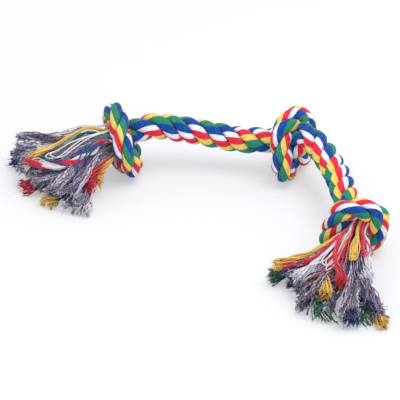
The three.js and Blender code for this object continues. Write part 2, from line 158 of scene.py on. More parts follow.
# Dark is how far grey yarn leans to its dark tones, stray the share of it that is of a bright colour, and loop_rise
# how far loops lie above the stack. A lock has a colour and a habit, which is its turn at the root and at the tip in
# degrees, its rise, its share of the length and of the cell's width, and where locks are twined, its place round the
# others in turns. Loops are a colour, a turn from the heading, a reach, a width and a count.
PLAIN_HABIT = (0, 0, 0, 1, 0.5)
TASSELS = {
    "left": {
        "heading": 213, "lengths": (0.073, 0.068, 0.064, 0.066, 0.067, 0.064),
        "dark": 1, "stray": 0.16, "loop_rise": 0.0045,
        "locks": (
            (("grey", 0, 0, 0.007, 1, 0.5), ("yellow", -14, 9, 0.009, 0.88, 0.07), ("grey",),
             ("white", 40, -18, 0.006, 1, 0.07, 0), ("grey",), ("red", 26, 2, -0.007, 0.66, 0.5)),
            (("white", 4, 12, 0.012, 0.7, 0.18), ("green", -12, 11, 0.011, 0.72, 0.12),
             ("red", 56, -2, 0.0145, 1.02, 0.07, 0.67), ("blue", 40, -18, 0.0145, 0.94, 0.05, 0.33),
             ("green", 0, -6, 0.01, 0.52, 0.12), ("yellow", 36, 6, -0.002, 0.5, 0.5)),
            (("blue", 0, 0, 0.003, 1.04, 0.4), ("red", 0, 10, 0.002, 1.02, 0.5),
             ("yellow", 0, 26, 0.001, 1.04, 0.4), ("green", 0, 0, 0, 0.82, 0.4),
             ("blue", 0, 0, 0, 0.78, 0.4), ("white",)),
        ),
        "loops": (
            ("white", -42, 0.04, 0.012, 2), ("blue", 34, 0.048, 0.008, 2), ("green", 24, 0.034, 0.008, 3),
            ("white", -6, 0.05, 0.02, 2)),
    },
    "right": {
        "heading": 236, "lengths": (0.067, 0.061, 0.066, 0.086, 0.092, 0.085),
        "dark": 3.2, "stray": 0.18, "loop_rise": 0.0009,
        "locks": (
            (("yellow", 22, 6, 0.003, 1.02, 0.2), ("grey",), ("red", 10, 12, 0.001, 0.78, 0.24), ("grey",),
             ("white", 44, 24, 0.002, 0.58, 0.4), ("grey",)),
            (("red", 28, 12, 0.009, 0.94, 0.14), ("white", 14, 8, 0.008, 1.02, 0.2),
             ("yellow", 16, 22, 0.009, 1.1, 0.3), ("blue", 10, 22, -0.004, 1.03, 0.24),
             ("red", -28, -3, 0.014, 0.68, 0.26), ("blue", 0, 2, 0.003, 0.9, 0.16)),
            (("green", 10, 2, 0.003, 1.02, 0.36), ("blue", 0, 4, 0, 0.92, 0.36),
             ("green", 4, 22, 0.003, 1.24, 0.6), ("white", 0, 0, 0, 0.7, 0.4),
             ("yellow", 0, 20, 0.001, 0.99, 0.18), ("green", 0, 3, 0.001, 0.98, 0.5)),
        ),
        "loops": (
            ("yellow", 36, 0.033, 0.009, 12), ("red", 12, 0.048, 0.012, 4), ("white", 4, 0.052, 0.01, 4),
            ("red", 54, 0.03, 0.008, 6)),
    },
}


def linear(code):
    """Linear colour of six hexadecimal digits."""
    parts = [int(code[i:i + 2], 16) / 255 for i in (0, 2, 4)]
    return [c / 12.92 if c < 0.04045 else ((c + 0.055) / 1.055) ** 2.4 for c in parts]


def smooth(value, low, high):
    """Smooth step from 0 at low to 1 at high."""
    share = np.clip((value - low) / (high - low), 0, 1)
    return share * share * (3 - 2 * share)


def unit(vectors):
    return vectors / np.linalg.norm(vectors, axis=-1, keepdims=True)


def dot(a, b):
    return np.sum(a * b, axis=-1, keepdims=True)


def summed(points, power=1):
    """Length from the first point to each, or what another power of the steps comes to."""
    return np.concatenate([[0], np.cumsum(np.linalg.norm(np.diff(points, axis=0), axis=1) ** power)])


def sides_of(tangents):
    """Two directions across each line, which are carried along it from straight up without a twist."""
    normal = np.broadcast_to((0.0, 0.0, 1.0), tangents[..., 0, :].shape)
    normals = np.empty_like(tangents)
    for place in range(tangents.shape[-2]):
        tangent = tangents[..., place, :]
        normal = unit(normal - tangent * dot(normal, tangent))
        normals[..., place, :] = normal
    return normals, np.cross(tangents, normals)


def placed(name, data):
    """A new object in the scene."""
    made = bpy.data.objects.new(name, data)
    bpy.context.scene.collection.objects.link(made)
    return made


class ToyRope(bpy.types.PropertyGroup):
    radius: bpy.props.FloatProperty(
        name="Radius", description="Radius of the soft rope over its strands' crests", default=0.0107, unit="LENGTH")
    lay_length: bpy.props.FloatProperty(
        name="Lay Length", description="Length of rope in which a strand goes once round", default=0.043, unit="LENGTH")
    yarn_lines: bpy.props.IntProperty(
        name="Yarn Lines", description="Yarns that show round one strand", default=46)


class ToyTassel(bpy.types.PropertyGroup):
    yarn_radius: bpy.props.FloatProperty(
        name="Yarn Radius", description="Radius of one loose cover yarn", default=0.00042, unit="LENGTH")
    core_radius: bpy.props.FloatProperty(
        name="Core Radius", description="Radius of one yarn of the grey core", default=0.00045, unit="LENGTH")
    lock_yarns: bpy.props.IntProperty(
        name="Lock Yarns", description="Yarns in a coloured lock", default=36)
    core_yarns: bpy.props.IntProperty(
        name="Core Yarns", description="Yarns in a strand's grey core", default=270)
    core_tufts: bpy.props.IntProperty(
        name="Core Tufts", description="Tufts that the yarns of a strand's grey core lie in", default=18)
    tuft: bpy.props.FloatProperty(
        name="Tuft", description="Half of the thickness of a tuft", default=0.0022, unit="LENGTH")
    wave: bpy.props.FloatProperty(
        name="Wave", description="How far a loose yarn wanders to either side", default=0.0011, unit="LENGTH")
    crimp: bpy.props.FloatProperty(
        name="Crimp", description="Depth of the small bends in the grey yarn", default=0.0004, unit="LENGTH")
    fray: bpy.props.FloatProperty(
        name="Fray", description="Length of yarn that comes apart into fibres at its end", default=0.0036,
        unit="LENGTH")


class ToyColours(bpy.types.PropertyGroup):
    green: bpy.props.FloatVectorProperty(
        name="Green", description="Green cover yarn", subtype="COLOR", default=linear("298567"))
    blue: bpy.props.FloatVectorProperty(
        name="Blue", description="Blue cover yarn", subtype="COLOR", default=linear("03479A"))
    white: bpy.props.FloatVectorProperty(
        name="White", description="White cover yarn", subtype="COLOR", default=linear("EFECF3"))
    red: bpy.props.FloatVectorProperty(
        name="Red", description="Red cover yarn", subtype="COLOR", default=linear("E02642"))
    yellow: bpy.props.FloatVectorProperty(
        name="Yellow", description="Yellow cover yarn", subtype="COLOR", default=linear("F5D166"))


class ToyStage(bpy.types.PropertyGroup):
    elevation: bpy.props.FloatProperty(
        name="Elevation", description="Height of the view above the horizon", default=math.radians(33),
        subtype="ANGLE")
    distance: bpy.props.FloatProperty(
        name="Distance", description="From the camera to the point it looks at", default=4.5, unit="LENGTH")
    focal_length: bpy.props.FloatProperty(
        name="Focal Length", description="Lens of the camera", default=506, unit="CAMERA")
    floor: bpy.props.FloatVectorProperty(
        name="Floor", description="Colour of the floor", subtype="COLOR", default=(0.77, 0.78, 0.82))
    lamp: bpy.props.FloatProperty(
        name="Lamp", description="Power of the broad lamp overhead", default=8.5, unit="POWER")
    sky: bpy.props.FloatProperty(
        name="Sky", description="Strength of the light from all round", default=0.98)


def spline(points):
    """Stations along one smooth curve through the points (Catmull-Rom, centripetal)."""
    points = np.vstack([2 * points[0] - points[1], points, 2 * points[-1] - points[-2]])
    times = summed(points, 0.5)
    dense = []
    for i in range(len(points) - 3):
        p, t = points[i:i + 4], times[i:i + 4]
        now = np.linspace(t[1], t[2], SPLINE_STEPS, endpoint=False)[:, None]
        first = [((t[j + 1] - now) * p[j] + (now - t[j]) * p[j + 1]) / (t[j + 1] - t[j]) for j in range(3)]
        second = [((t[j + 2] - now) * first[j] + (now - t[j]) * first[j + 1]) / (t[j + 2] - t[j]) for j in range(2)]
        dense.append(((t[2] - now) * second[0] + (now - t[1]) * second[1]) / (t[2] - t[1]))
    line = np.vstack([*dense, points[-2:-1]])
    along = summed(line)
    even = np.linspace(0, along[-1], round(along[-1] / STATION) + 1)
    return np.stack([np.interp(even, along, line[:, axis]) for axis in range(3)], axis=1)


def knot_points(knot):
    """A knot's middle and long axis, and the points of its rope, in metres."""
    half = np.array(OVERHAND_HALF)
    loose = np.vstack([(half[1:] * (-1, -1, 1))[::-1], half])
    loose[:, 0] -= (1 - KNOT_TIGHT) * TIGHT_REACH * np.tanh(loose[:, 0] / TIGHT_REACH)
    loose[:, 1:] *= knot["side"] * knot["size"][0], knot["size"][1]
    heading, pitch, roll = (math.radians(knot[name]) for name in ("heading", "pitch", "roll"))
    spin = np.array(((1, 0, 0), (0, math.cos(roll), -math.sin(roll)), (0, math.sin(roll), math.cos(roll))))
    tilt = np.array(((math.cos(pitch), 0, -math.sin(pitch)), (0, 1, 0), (math.sin(pitch), 0, math.cos(pitch))))
    face = np.array(((math.cos(heading), -math.sin(heading), 0), (math.sin(heading), math.cos(heading), 0), (0, 0, 1)))
    turn = face @ tilt @ spin
    points = loose * ROPE_DIAMETER @ turn.T
    lowest = spline(points)[:, 2].min()
    middle = np.array((*knot["at"], KNOT_LOWEST - lowest))
    return middle, turn[:, 0], points + middle


class Rope:
    """The rope's middle line in the frame, in stations a millimetre apart, and how the strands lie at each."""

    def __init__(self, settings):
        knots = {name: knot_points(knot) for name, knot in KNOTS.items()}
        line = spline(np.vstack([
            LEFT_TAIL, knots["left"][2], LEFT_SPAN, knots["middle"][2], RIGHT_SPAN, knots["right"][2], RIGHT_TAIL]))
        middles = np.array([knot[0] for knot in knots.values()])
        distances = np.linalg.norm(line[:, None] - middles, axis=2) / ROPE_DIAMETER
        in_knot = 1 - smooth(distances.min(axis=1), *KNOT_REACH)
        nearest = distances.argmin(axis=1)
        axes = np.array([knot[1] for knot in knots.values()])[nearest]
        knot_rope = np.array([knot["rope"] for knot in KNOTS.values()])[nearest]
        self.points = line + FRAME_SHIFT
        self.first = self.station(JOINTS["left_tassel_sway"]) + round(END_SHORT / STATION)
        self.last = self.station(JOINTS["right_tassel_sway"]) - round(END_SHORT / STATION)
        to_end = np.minimum(*(np.abs(np.arange(len(line)) - end) for end in (self.first, self.last))) * STATION
        thin = END_THIN * (1 - smooth(to_end, 0, END_TAPER))
        self.radius = settings.radius * (1 - (1 - knot_rope) * in_knot) * (1 - thin)
        self.squeeze = (KNOT_SQUEEZE * in_knot)[:, None] * axes
        self.axes = axes
        self.normals, self.across = sides_of(unit(np.gradient(line, axis=0)))
        self.along = np.arange(len(line)) * STATION
        places = {name: knots[name][2][len(OVERHAND_HALF) - 1] + FRAME_SHIFT for name in KNOTS} | JOINTS
        eased = [(self.along[self.station(places[name])], *ease) for name, ease in EASE.items()]
        where, lay_ease, *stripe_eases = zip(*eased)
        self.turns = np.cumsum(STATION / settings.lay_length * (1 - (1 - KNOT_LAY) * in_knot))
        self.turns += np.interp(self.along, where, lay_ease)
        lays = self.along / settings.lay_length
        self.stripes = [
            STRIPES_PER_TURN * (lays + number / STRANDS) + np.interp(self.along, where, ease)
            for number, ease in enumerate(stripe_eases)]

    def station(self, point):
        """Number of the station nearest to a point."""
        return int(np.linalg.norm(self.points - point, axis=1).argmin())

    def strand(self, number, first, last):
        """Points round one strand between two stations, and the stripes and length that they lie at."""
        outline, arc = strand_outline()
        rows = slice(first, last + 1)
        turns = (self.turns[rows] + number / STRANDS)[:, None]
        cosine, sine = np.cos(2 * math.pi * turns), np.sin(2 * math.pi * turns)
        out = self.radius[rows, None] * (outline[:, 0] * cosine - outline[:, 1] * sine)
        over = self.radius[rows, None] * (outline[:, 0] * sine + outline[:, 1] * cosine)
        offset = out[..., None] * self.normals[rows, None] + over[..., None] * self.across[rows, None]
        offset -= dot(offset, self.axes[rows, None]) * self.squeeze[rows, None]
        grid = self.points[rows, None] + offset
        grid[..., 2] = FLOOR_SOFT * np.logaddexp(0, grid[..., 2] / FLOOR_SOFT)
        stripe = arc / STRIPE_PERIMETER + self.stripes[number][rows, None]
        lay = np.stack([stripe, np.broadcast_to(self.along[rows, None], stripe.shape)], axis=-1)
        return grid, lay

    def tail(self, side):
        """Points from the middle of a tassel's fan back along the rope into its knot, a station apart."""
        centre = JOINTS[f"{side}_tassel_sway"]
        end = self.station(centre)
        points = self.points[end:] if side == "left" else self.points[end::-1]
        return points[:TAIL_STATIONS] - points[0] + centre


def strand_outline():
    """A strand's outline in a rope of radius 1, out and sideways, round outside and pressed flat inside, and the way
    round it from the crest."""
    angle = np.linspace(-math.pi, math.pi, STRAND_SIDES, endpoint=False)
    middle = 1 - STRAND_HIGH
    reach = ((np.cos(angle) / STRAND_HIGH) ** 2 + (np.sin(angle) / STRAND_WIDE) ** 2) ** (STRAND_PRESS / 2)
    for side in (-1, 1):
        lean = np.cos(angle - side * (math.pi / 2 + math.pi / STRANDS))
        wall = middle * math.sin(math.pi / STRANDS) / np.maximum(lean, 1e-3)
        reach += wall ** -STRAND_PRESS
    reach = reach ** (-1 / STRAND_PRESS)
    outline = np.stack([middle + reach * np.cos(angle), reach * np.sin(angle)], axis=1)
    arc = summed(outline)
    return outline, arc - arc[STRAND_SIDES // 2]


class Skin:
    """Gathers tubes, each a grid of rings, into one mesh."""

    def __init__(self):
        self.points, self.corners, self.sizes, self.capped, self.lay, self.draw = [], [], [], [], [], []
        self.count = 0

    def add(self, grids, lays, draws):
        """Tubes of the same size: grids are (tube, ring, side, xyz), lays (tube, ring, side, 2), draws (tube, 2)."""
        tubes, rings, sides = grids.shape[:3]
        number = self.count + np.arange(tubes * rings * sides).reshape(tubes, rings, sides)
        beside = np.roll(number, -1, axis=2)
        walls = np.stack([number[:, :-1], beside[:, :-1], beside[:, 1:], number[:, 1:]], axis=-1)
        caps = np.concatenate([number[:, 0, ::-1], number[:, -1]])
        lay_beside = np.roll(lays, -1, axis=2)
        lay_beside[:, :, -1] = 2 * lays[:, :, -1] - lays[:, :, -2]
        wall_lay = np.stack([lays[:, :-1], lay_beside[:, :-1], lay_beside[:, 1:], lays[:, 1:]], axis=-2)
        cap_lay = np.concatenate([lays[:, 0, ::-1], lays[:, -1]])
        wall_draw = np.broadcast_to(draws[:, None], (tubes, (rings - 1) * sides * 4, 2))
        cap_draw = np.broadcast_to(np.concatenate([draws, draws])[:, None], (2 * tubes, sides, 2))
        self.points.append(grids.reshape(-1, 3))
        self.corners += [walls.ravel(), caps.ravel()]
        self.sizes += [np.full(walls.size // 4, 4), np.full(2 * tubes, sides)]
        self.capped += [np.zeros(walls.size, bool), np.ones(caps.size, bool)]
        self.lay += [wall_lay.reshape(-1, 2), cap_lay.reshape(-1, 2)]
        self.draw += [wall_draw.reshape(-1, 2), cap_draw.reshape(-1, 2)]
        self.count += number.size

    def make(self, name, material):
        """The mesh as an object, with a sharp rim round the end of each tube."""
        points, corners, sizes = (np.concatenate(part) for part in (self.points, self.corners, self.sizes))
        mesh = bpy.data.meshes.new(name)
        mesh.vertices.add(len(points))
        mesh.vertices.foreach_set("co", points.astype(np.float32).ravel())
        mesh.loops.add(len(corners))
        mesh.loops.foreach_set("vertex_index", corners.astype(np.int32))
        mesh.polygons.add(len(sizes))
        mesh.polygons.foreach_set("loop_start", (np.cumsum(sizes) - sizes).astype(np.int32))
        mesh.polygons.foreach_set("use_smooth", np.ones(len(sizes), bool))
        for layer, values in (("lay", self.lay), ("draw", self.draw)):
            coordinates = mesh.uv_layers.new(name=layer).uv
            coordinates.foreach_set("vector", np.concatenate(values).astype(np.float32).ravel())
        mesh.update(calc_edges=True)
        edges = np.empty(len(corners), np.int32)
        mesh.loops.foreach_get("edge_index", edges)
        sharp = np.zeros(len(mesh.edges), bool)
        sharp[edges[np.concatenate(self.capped)]] = True
        mesh.attributes.new("sharp_edge", "BOOLEAN", "EDGE").data.foreach_set("value", sharp)
        if mesh.validate():
            raise RuntimeError(f"{name} has faces that are not clean")
        mesh.materials.append(material)
        return placed(name, mesh)


class Tree:
    """Short words for building one node tree."""

    def __init__(self, tree):
        self.tree = tree

    def node(self, kind, inputs=None, **settings):
        made = self.tree.nodes.new(kind)
        for name, value in settings.items():
            setattr(made, name, value)
        for socket, value in (inputs or {}).items():
            if isinstance(value, bpy.types.NodeSocket):
                self.tree.links.new(value, made.inputs[socket])
            else:
                made.inputs[socket].default_value = value
        return made

    def math(self, operation, first, second=0.0):
        return self.node("ShaderNodeMath", {0: first, 1: second}, operation=operation).outputs[0]

    def plus(self, first, second):
        return self.math("ADD", first, second)

    def times(self, first, second):
        return self.math("MULTIPLY", first, second)

    def vector(self, x, y, z=0.0):
        return self.node("ShaderNodeCombineXYZ", {0: x, 1: y, 2: z}).outputs[0]

    def noise(self, vector, detail=2.0):
        return self.node("ShaderNodeTexNoise", {"Vector": vector, "Scale": 1.0, "Detail": detail}).outputs[0]

    def ranged(self, value, from_low, from_high, to_low=0.0, to_high=1.0):
        return self.node("ShaderNodeMapRange", {
            0: value, 1: from_low, 2: from_high, 3: to_low, 4: to_high}, interpolation_type="SMOOTHSTEP").outputs[0]

    def mix(self, share, first, second, blend="MIX"):
        return self.node(
            "ShaderNodeMix", {0: share, 6: first, 7: second}, data_type="RGBA", blend_type=blend).outputs[2]

    def ramp(self, value, stops):
        made = self.node("ShaderNodeValToRGB", {0: value})
        made.color_ramp.interpolation = "CONSTANT"
        elements = made.color_ramp.elements
        while len(elements) < len(stops):
            elements.new(1.0)
        for element, (place, colour) in zip(elements, stops):
            element.position, element.color = place, (*colour, 1)
        return made.outputs[0]

    def coordinates(self, layer):
        layer = self.node("ShaderNodeUVMap", uv_map=layer).outputs[0]
        return self.node("ShaderNodeSeparateXYZ", {0: layer}).outputs[:2]

    def effect(self, name, fill, inputs):
        """Outputs of the node group of that name, which is filled the first time."""
        group = bpy.data.node_groups.get(name)
        if not group:
            group = bpy.data.node_groups.new(name, "ShaderNodeTree")
            tree = Tree(group)
            for socket in inputs:
                group.interface.new_socket(socket, in_out="INPUT", socket_type="NodeSocketFloat")
            outputs = fill(tree, tree.node("NodeGroupInput").outputs)
            for socket in outputs:
                group.interface.new_socket(socket, in_out="OUTPUT", socket_type="NodeSocketFloat")
            tree.node("NodeGroupOutput", outputs)
        return self.node("ShaderNodeGroup", inputs, node_tree=group).outputs


def cotton_fibre(tree, given):
    """Fine fibres drawn out along a yarn, its mottled spinning, and specks of lint caught on it."""

    def grain(across, along, apart, detail):
        """Noise with so many waves a metre across and along the yarn, set apart from the other noises."""
        return tree.noise(tree.vector(
            tree.times(given["Across"], across), tree.times(given["Along"], along),
            tree.plus(given["Draw"], apart)), detail)

    return {
        "Fibre": grain(9000, 700, 0, 3),
        "Mottle": tree.ranged(grain(900, 450, 3, 2), 0.3, 0.7, -1, 1),
        "Lint": tree.ranged(grain(1000, 650, 7, 2), 0.56, 0.72),
    }


def yarn_twist(tree, given):
    """The plies of a twisted yarn, as a height, which also gives painted shade in the grooves between plies, and as a
    mask of every other ply.
    """
    winding = tree.plus(tree.math("DIVIDE", given["Along"], given["Pitch"]), given["Round"])
    winding = tree.plus(winding, given["Draw"])
    wave = tree.math("SINE", tree.times(winding, 2 * math.pi))
    return {"Height": tree.math("ABSOLUTE", wave), "Ply": tree.ranged(wave, -0.35, 0.35)}


def cotton_shader(tree, colour, height, distance):
    """Soft matt cotton with a little sheen."""
    bump = tree.node("ShaderNodeBump", {"Strength": 0.6, "Distance": distance, "Height": height})
    shader = tree.node("ShaderNodeBsdfPrincipled", {
        "Base Color": colour, "Roughness": 0.9, "Specular IOR Level": 0.15, "Sheen Weight": 0.1,
        "Sheen Roughness": 0.5, "Normal": bump.outputs[0]})
    tree.node("ShaderNodeOutputMaterial", {0: shader.outputs[0]})


def new_material(name):
    material = bpy.data.materials.new(name)
    material.use_nodes = True
    material.node_tree.nodes.clear()
    return material


def striped_cotton(colours, yarn_lines):
    """The strands' cover: five colours of yarn lying side by side."""
    material = new_material("striped_cotton")
    tree = Tree(material.node_tree)
    round_strand, along = tree.coordinates("lay")
    wander = tree.noise(tree.vector(tree.times(round_strand, 3.0), tree.times(along, 60)))
    eased = tree.plus(round_strand, tree.times(tree.math("SUBTRACT", wander, 0.5), 0.035))
    lines = tree.times(eased, yarn_lines)
    yarn = tree.math("DIVIDE", tree.math("FLOOR", lines), yarn_lines)
    stripe = tree.ramp(tree.math("FRACT", yarn), (
        (0, colours.green), (0.222, colours.blue), (0.457, colours.white), (0.607, colours.red),
        (0.822, colours.yellow)))
    # Crown of each yarn line: it sets the bump, and below it darkens the creases between yarns as painted shade.
    crown = tree.math("ABSOLUTE", tree.math("SINE", tree.times(lines, math.pi)))
    across = tree.times(round_strand, STRIPE_PERIMETER * ROPE_RADIUS)
    fibre = tree.effect("Cotton Fibre", cotton_fibre, {"Across": across, "Along": along, "Draw": 0.0})
    # Multiplier on the stripe colour: the fibre grain and mottle are the cotton's own tone, and the crown term is
    # painted shade in the creases between yarn lines.
    fibre_and_crease_shade = tree.plus(tree.ranged(fibre["Fibre"], 0.25, 0.75, -0.12, 0.12), tree.times(crown, 0.16))
    painted_shade_and_grain = tree.plus(tree.plus(fibre_and_crease_shade, tree.times(fibre["Mottle"], 0.15)), 0.88)
    colour = tree.mix(1.0, stripe, tree.vector(painted_shade_and_grain, painted_shade_and_grain, painted_shade_and_grain), "MULTIPLY")
    colour = tree.mix(tree.times(fibre["Lint"], 0.13), colour, ROPE_LINT)
    height = tree.plus(crown, tree.times(fibre["Fibre"], 0.6))
    cotton_shader(tree, colour, height, 0.0002)
    return material


def grey_tone(tree, along, draw, second, ply):
    """Colour of a core yarn: light, dark or stray coloured waste, flecked along its length and from ply to ply."""
    light = tree.ramp(draw, [(place, linear(code)) for place, code in (
        (0, "3C384C"), (0.10, "827B96"), (0.26, "B5AEC8"), (0.42, "D0C9DF"), (0.58, "E8E3F1"), (0.74, "F8F5FC"),
        (GREY_SHARE, "E48FB0"), (0.925, "5F80C0"), (0.945, "D09C52"), (0.965, "4F9078"), (0.985, "B8505F"))])
    dark = tree.ramp(second, [(place, linear(code)) for place, code in (
        (0, "77708D"), (0.3, "9992AE"), (0.55, "3E3A4E"), (0.72, "C0B9CF"), (0.90, "66506A"), (0.95, "405490"))])
    flecks = tree.noise(tree.vector(tree.times(along, 420), tree.times(draw, 90), tree.times(second, 70)))
    flecks = tree.ranged(flecks, 0.42, 0.58, 0, 0.7)
    return tree.mix(tree.plus(flecks, tree.times(ply, 0.3)), light, dark)


def cover_tone(tree, name, colour, second):
    """Colour of a cover yarn, from fresh to faded."""
    pale = tree.mix(0.06, (*colour, 1), BLEACHED)
    deep = tree.mix(1.0, (*colour, 1), FADED.get(name, FADED_OTHERS), "MULTIPLY")
    return tree.mix(tree.ranged(second, 0.0, 1.0), pale, deep)


def yarn_cotton(name, colours):
    """The material of one colour of loose yarn, made once."""
    made = bpy.data.materials.get(f"{name}_cotton")
    if made:
        return made
    material = new_material(f"{name}_cotton")
    tree = Tree(material.node_tree)
    round_yarn, along = tree.coordinates("lay")
    draw, second = tree.coordinates("draw")
    twist = tree.effect(
        "Yarn Twist", yarn_twist, {"Round": round_yarn, "Along": along, "Pitch": YARN_PITCH, "Draw": draw})
    across = tree.times(round_yarn, YARN_PERIMETER)
    fibre = tree.effect(
        "Cotton Fibre", cotton_fibre, {"Across": across, "Along": along, "Draw": tree.times(draw, 40)})
    if name == "grey":
        tone = grey_tone(tree, along, draw, second, twist["Ply"])
    else:
        tone = cover_tone(tree, name, getattr(colours, name), second)
    grain = tree.ranged(fibre["Fibre"], 0.25, 0.75, -0.1, 0.1)
    # Multiplier on the yarn's tone: the twist's height lightens the ply crowns and darkens the grooves between plies as
    # painted shade, and the fibre grain is the yarn's own tone.
    painted_shade_and_grain = tree.plus(tree.plus(tree.times(twist["Height"], 0.2), grain), 0.84)
    tone = tree.mix(1.0, tone, tree.vector(painted_shade_and_grain, painted_shade_and_grain, painted_shade_and_grain), "MULTIPLY")
    tone = tree.mix(tree.times(fibre["Lint"], 0.12), tone, YARN_LINT)
    height = tree.plus(twist["Height"], tree.times(fibre["Fibre"], 0.4))
    cotton_shader(tree, tone, height, 0.00025)
    return material


class ROPETOY_OT_lay_rope(bpy.types.Operator):
    """Lays the three striped strands through the spans and knots"""

    bl_idname = "ropetoy.lay_rope"
    bl_label = "Lay Rope"

    def execute(self, context):
        settings = context.scene.toy_rope
        rope = Rope(settings)
        material = striped_cotton(context.scene.toy_colours, settings.yarn_lines)
        bends = [rope.station(JOINTS[bend]) for _, bend, _ in STRETCHES]
        seams = [rope.first, *((bend + following) // 2 for bend, following in zip(bends, bends[1:])), rope.last]
        made = {}
        for place, (name, _, nodes) in enumerate(STRETCHES):
            first, last = seams[place:place + 2]
            middle = bends[place]
            for number in range(STRANDS):
                grid, lay = rope.strand(number, first, last)
                skin = Skin()
                skin.add(grid[None], lay[None], np.zeros((1, 2)))
                piece = skin.make(f"{name}_strand_{number + 1}", material)
                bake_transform(piece)
                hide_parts(*(f"{node}_strand_{number + 1}" for node in nodes))
                made.setdefault(name, []).append(piece)

        first, left, left_near, middle, right_near, right, last = seams
        cords = (
            ("left_end", slice(left, first - 1, -1), "left_span", "knot"),
            ("middle_left", slice(left_near, middle + 1), None, "object"),
            ("middle_right", slice(middle, right_near + 1), None, "object"),
            ("right_end", slice(right, last + 1), "right_span", "knot"),
        )
        return {"FINISHED"}


class ROPETOY_OT_fray_tassel(bpy.types.Operator):
    """Frays one end of the rope into a tassel of loose locks of yarn"""

    bl_idname = "ropetoy.fray_tassel"
    bl_label = "Fray Tassel"

    side: bpy.props.EnumProperty(
        name="Side", description="End of the rope to fray",
        items=(("left", "Left", "The shorter tassel"), ("right", "Right", "The longer tassel")))

    def execute(self, context):
        settings, covers = context.scene.toy_tassel, context.scene.toy_colours
        fan = TASSELS[self.side]
        tail = Rope(context.scene.toy_rope).tail(self.side)
        centre = tail[0]
        heading = math.radians(fan["heading"])
        ahead = np.array((math.cos(heading), math.sin(heading), 0))
        for row, cells in enumerate(fan["locks"]):
            for column, (colour, *habit) in enumerate(cells):
                lock = f"strand_{column // 2 + 1}_{colour}"
                habit = habit or PLAIN_HABIT
                random = np.random.default_rng((ord(self.side[0]), row, column))
                skin = Skin()
                if colour == "grey":
                    add_core(skin, fan, tail, column, habit, settings, random)
                else:
                    add_lock(skin, fan, tail, row, column, habit, settings, random)
                piece = skin.make(f"{self.side}_tassel_{lock}_lock", yarn_cotton(colour, covers))
                self.hang(piece, centre, ahead, colour)
                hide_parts(f"{self.side}_tassel_{lock}_yarn")
        for number, (colour, *loop) in enumerate(fan["loops"], 1):
            random = np.random.default_rng((ord(self.side[0]), number))
            skin = Skin()
            add_loops(skin, fan, tail, loop, settings, random)
            piece = skin.make(f"{self.side}_tassel_{colour}_loops_{number}", yarn_cotton(colour, covers))
            self.hang(piece, centre, ahead, colour)
        return {"FINISHED"}

    def hang(self, piece, centre, ahead, colour):
        """Bakes the piece's placement into its mesh."""
        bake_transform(piece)


def stack_at(fan, tail, column, reach):
    """Foot and height of a column's stack of locks at each distance from the fan's centre."""
    length = fan["lengths"][column]
    down = smooth(reach, TASSEL_START, TASSEL_START + TASSEL_DROP)
    swell = smooth(reach, TASSEL_START, length * TASSEL_FULL)
    thin = THIN_BY * smooth(reach, length * THIN_FROM, length)
    stack = TASSEL_NECK + (TASSEL_HEIGHT - TASSEL_NECK) * (swell - thin)
    return np.maximum(0, (tail[0, 2] - stack / 2) * (1 - down)), stack


def fan_line(fan, tail, bearing, away, height):
    """Points at a bearing from the fan's heading and at each distance from its centre, run back along the rope's tail
    into the knot, with the direction across them."""
    heading = math.radians(fan["heading"])
    reach = spread_at(away)
    back = reach - away
    root = np.stack([np.interp(back, np.arange(len(tail)) * STATION, tail[:, axis]) for axis in range(3)], axis=-1)
    wide = TASSEL_WIDE * 2 * bearing / TASSEL_FAN * (1 - smooth(away, 0, TASSEL_DROP))
    line = root + np.stack(np.broadcast_arrays(
        reach * np.cos(heading + bearing) - wide * math.sin(heading),
        reach * np.sin(heading + bearing) + wide * math.cos(heading),
        height - tail[0, 2],
    ), axis=-1)
    beside = np.stack(np.broadcast_arrays(
        -np.sin(heading + bearing), np.cos(heading + bearing), np.zeros_like(height)), axis=-1)
    return line, beside


def spread_at(away):
    """Distance from the fan's centre that its bearings are measured at, which eases off to nothing in the knot."""
    return (away + np.sqrt(away ** 2 + TASSEL_EASE ** 2)) / 2


def leans_of(fan):
    """The columns' bearings from the fan's heading, and the width of one."""
    columns = len(fan["lengths"])
    width = TASSEL_FAN / columns
    return (np.arange(columns) - (columns - 1) / 2) * width, width


def waves(random, count, share, low, high):
    """A wavy number along each yarn, of between low and high waves in its length."""
    rates = random.uniform(low, high, (2, count, 1))
    phases = random.uniform(0, 2 * math.pi, (2, count, 1))
    wavy = np.sin(2 * math.pi * rates * share + phases)
    return wavy[0] + 0.6 * wavy[1]


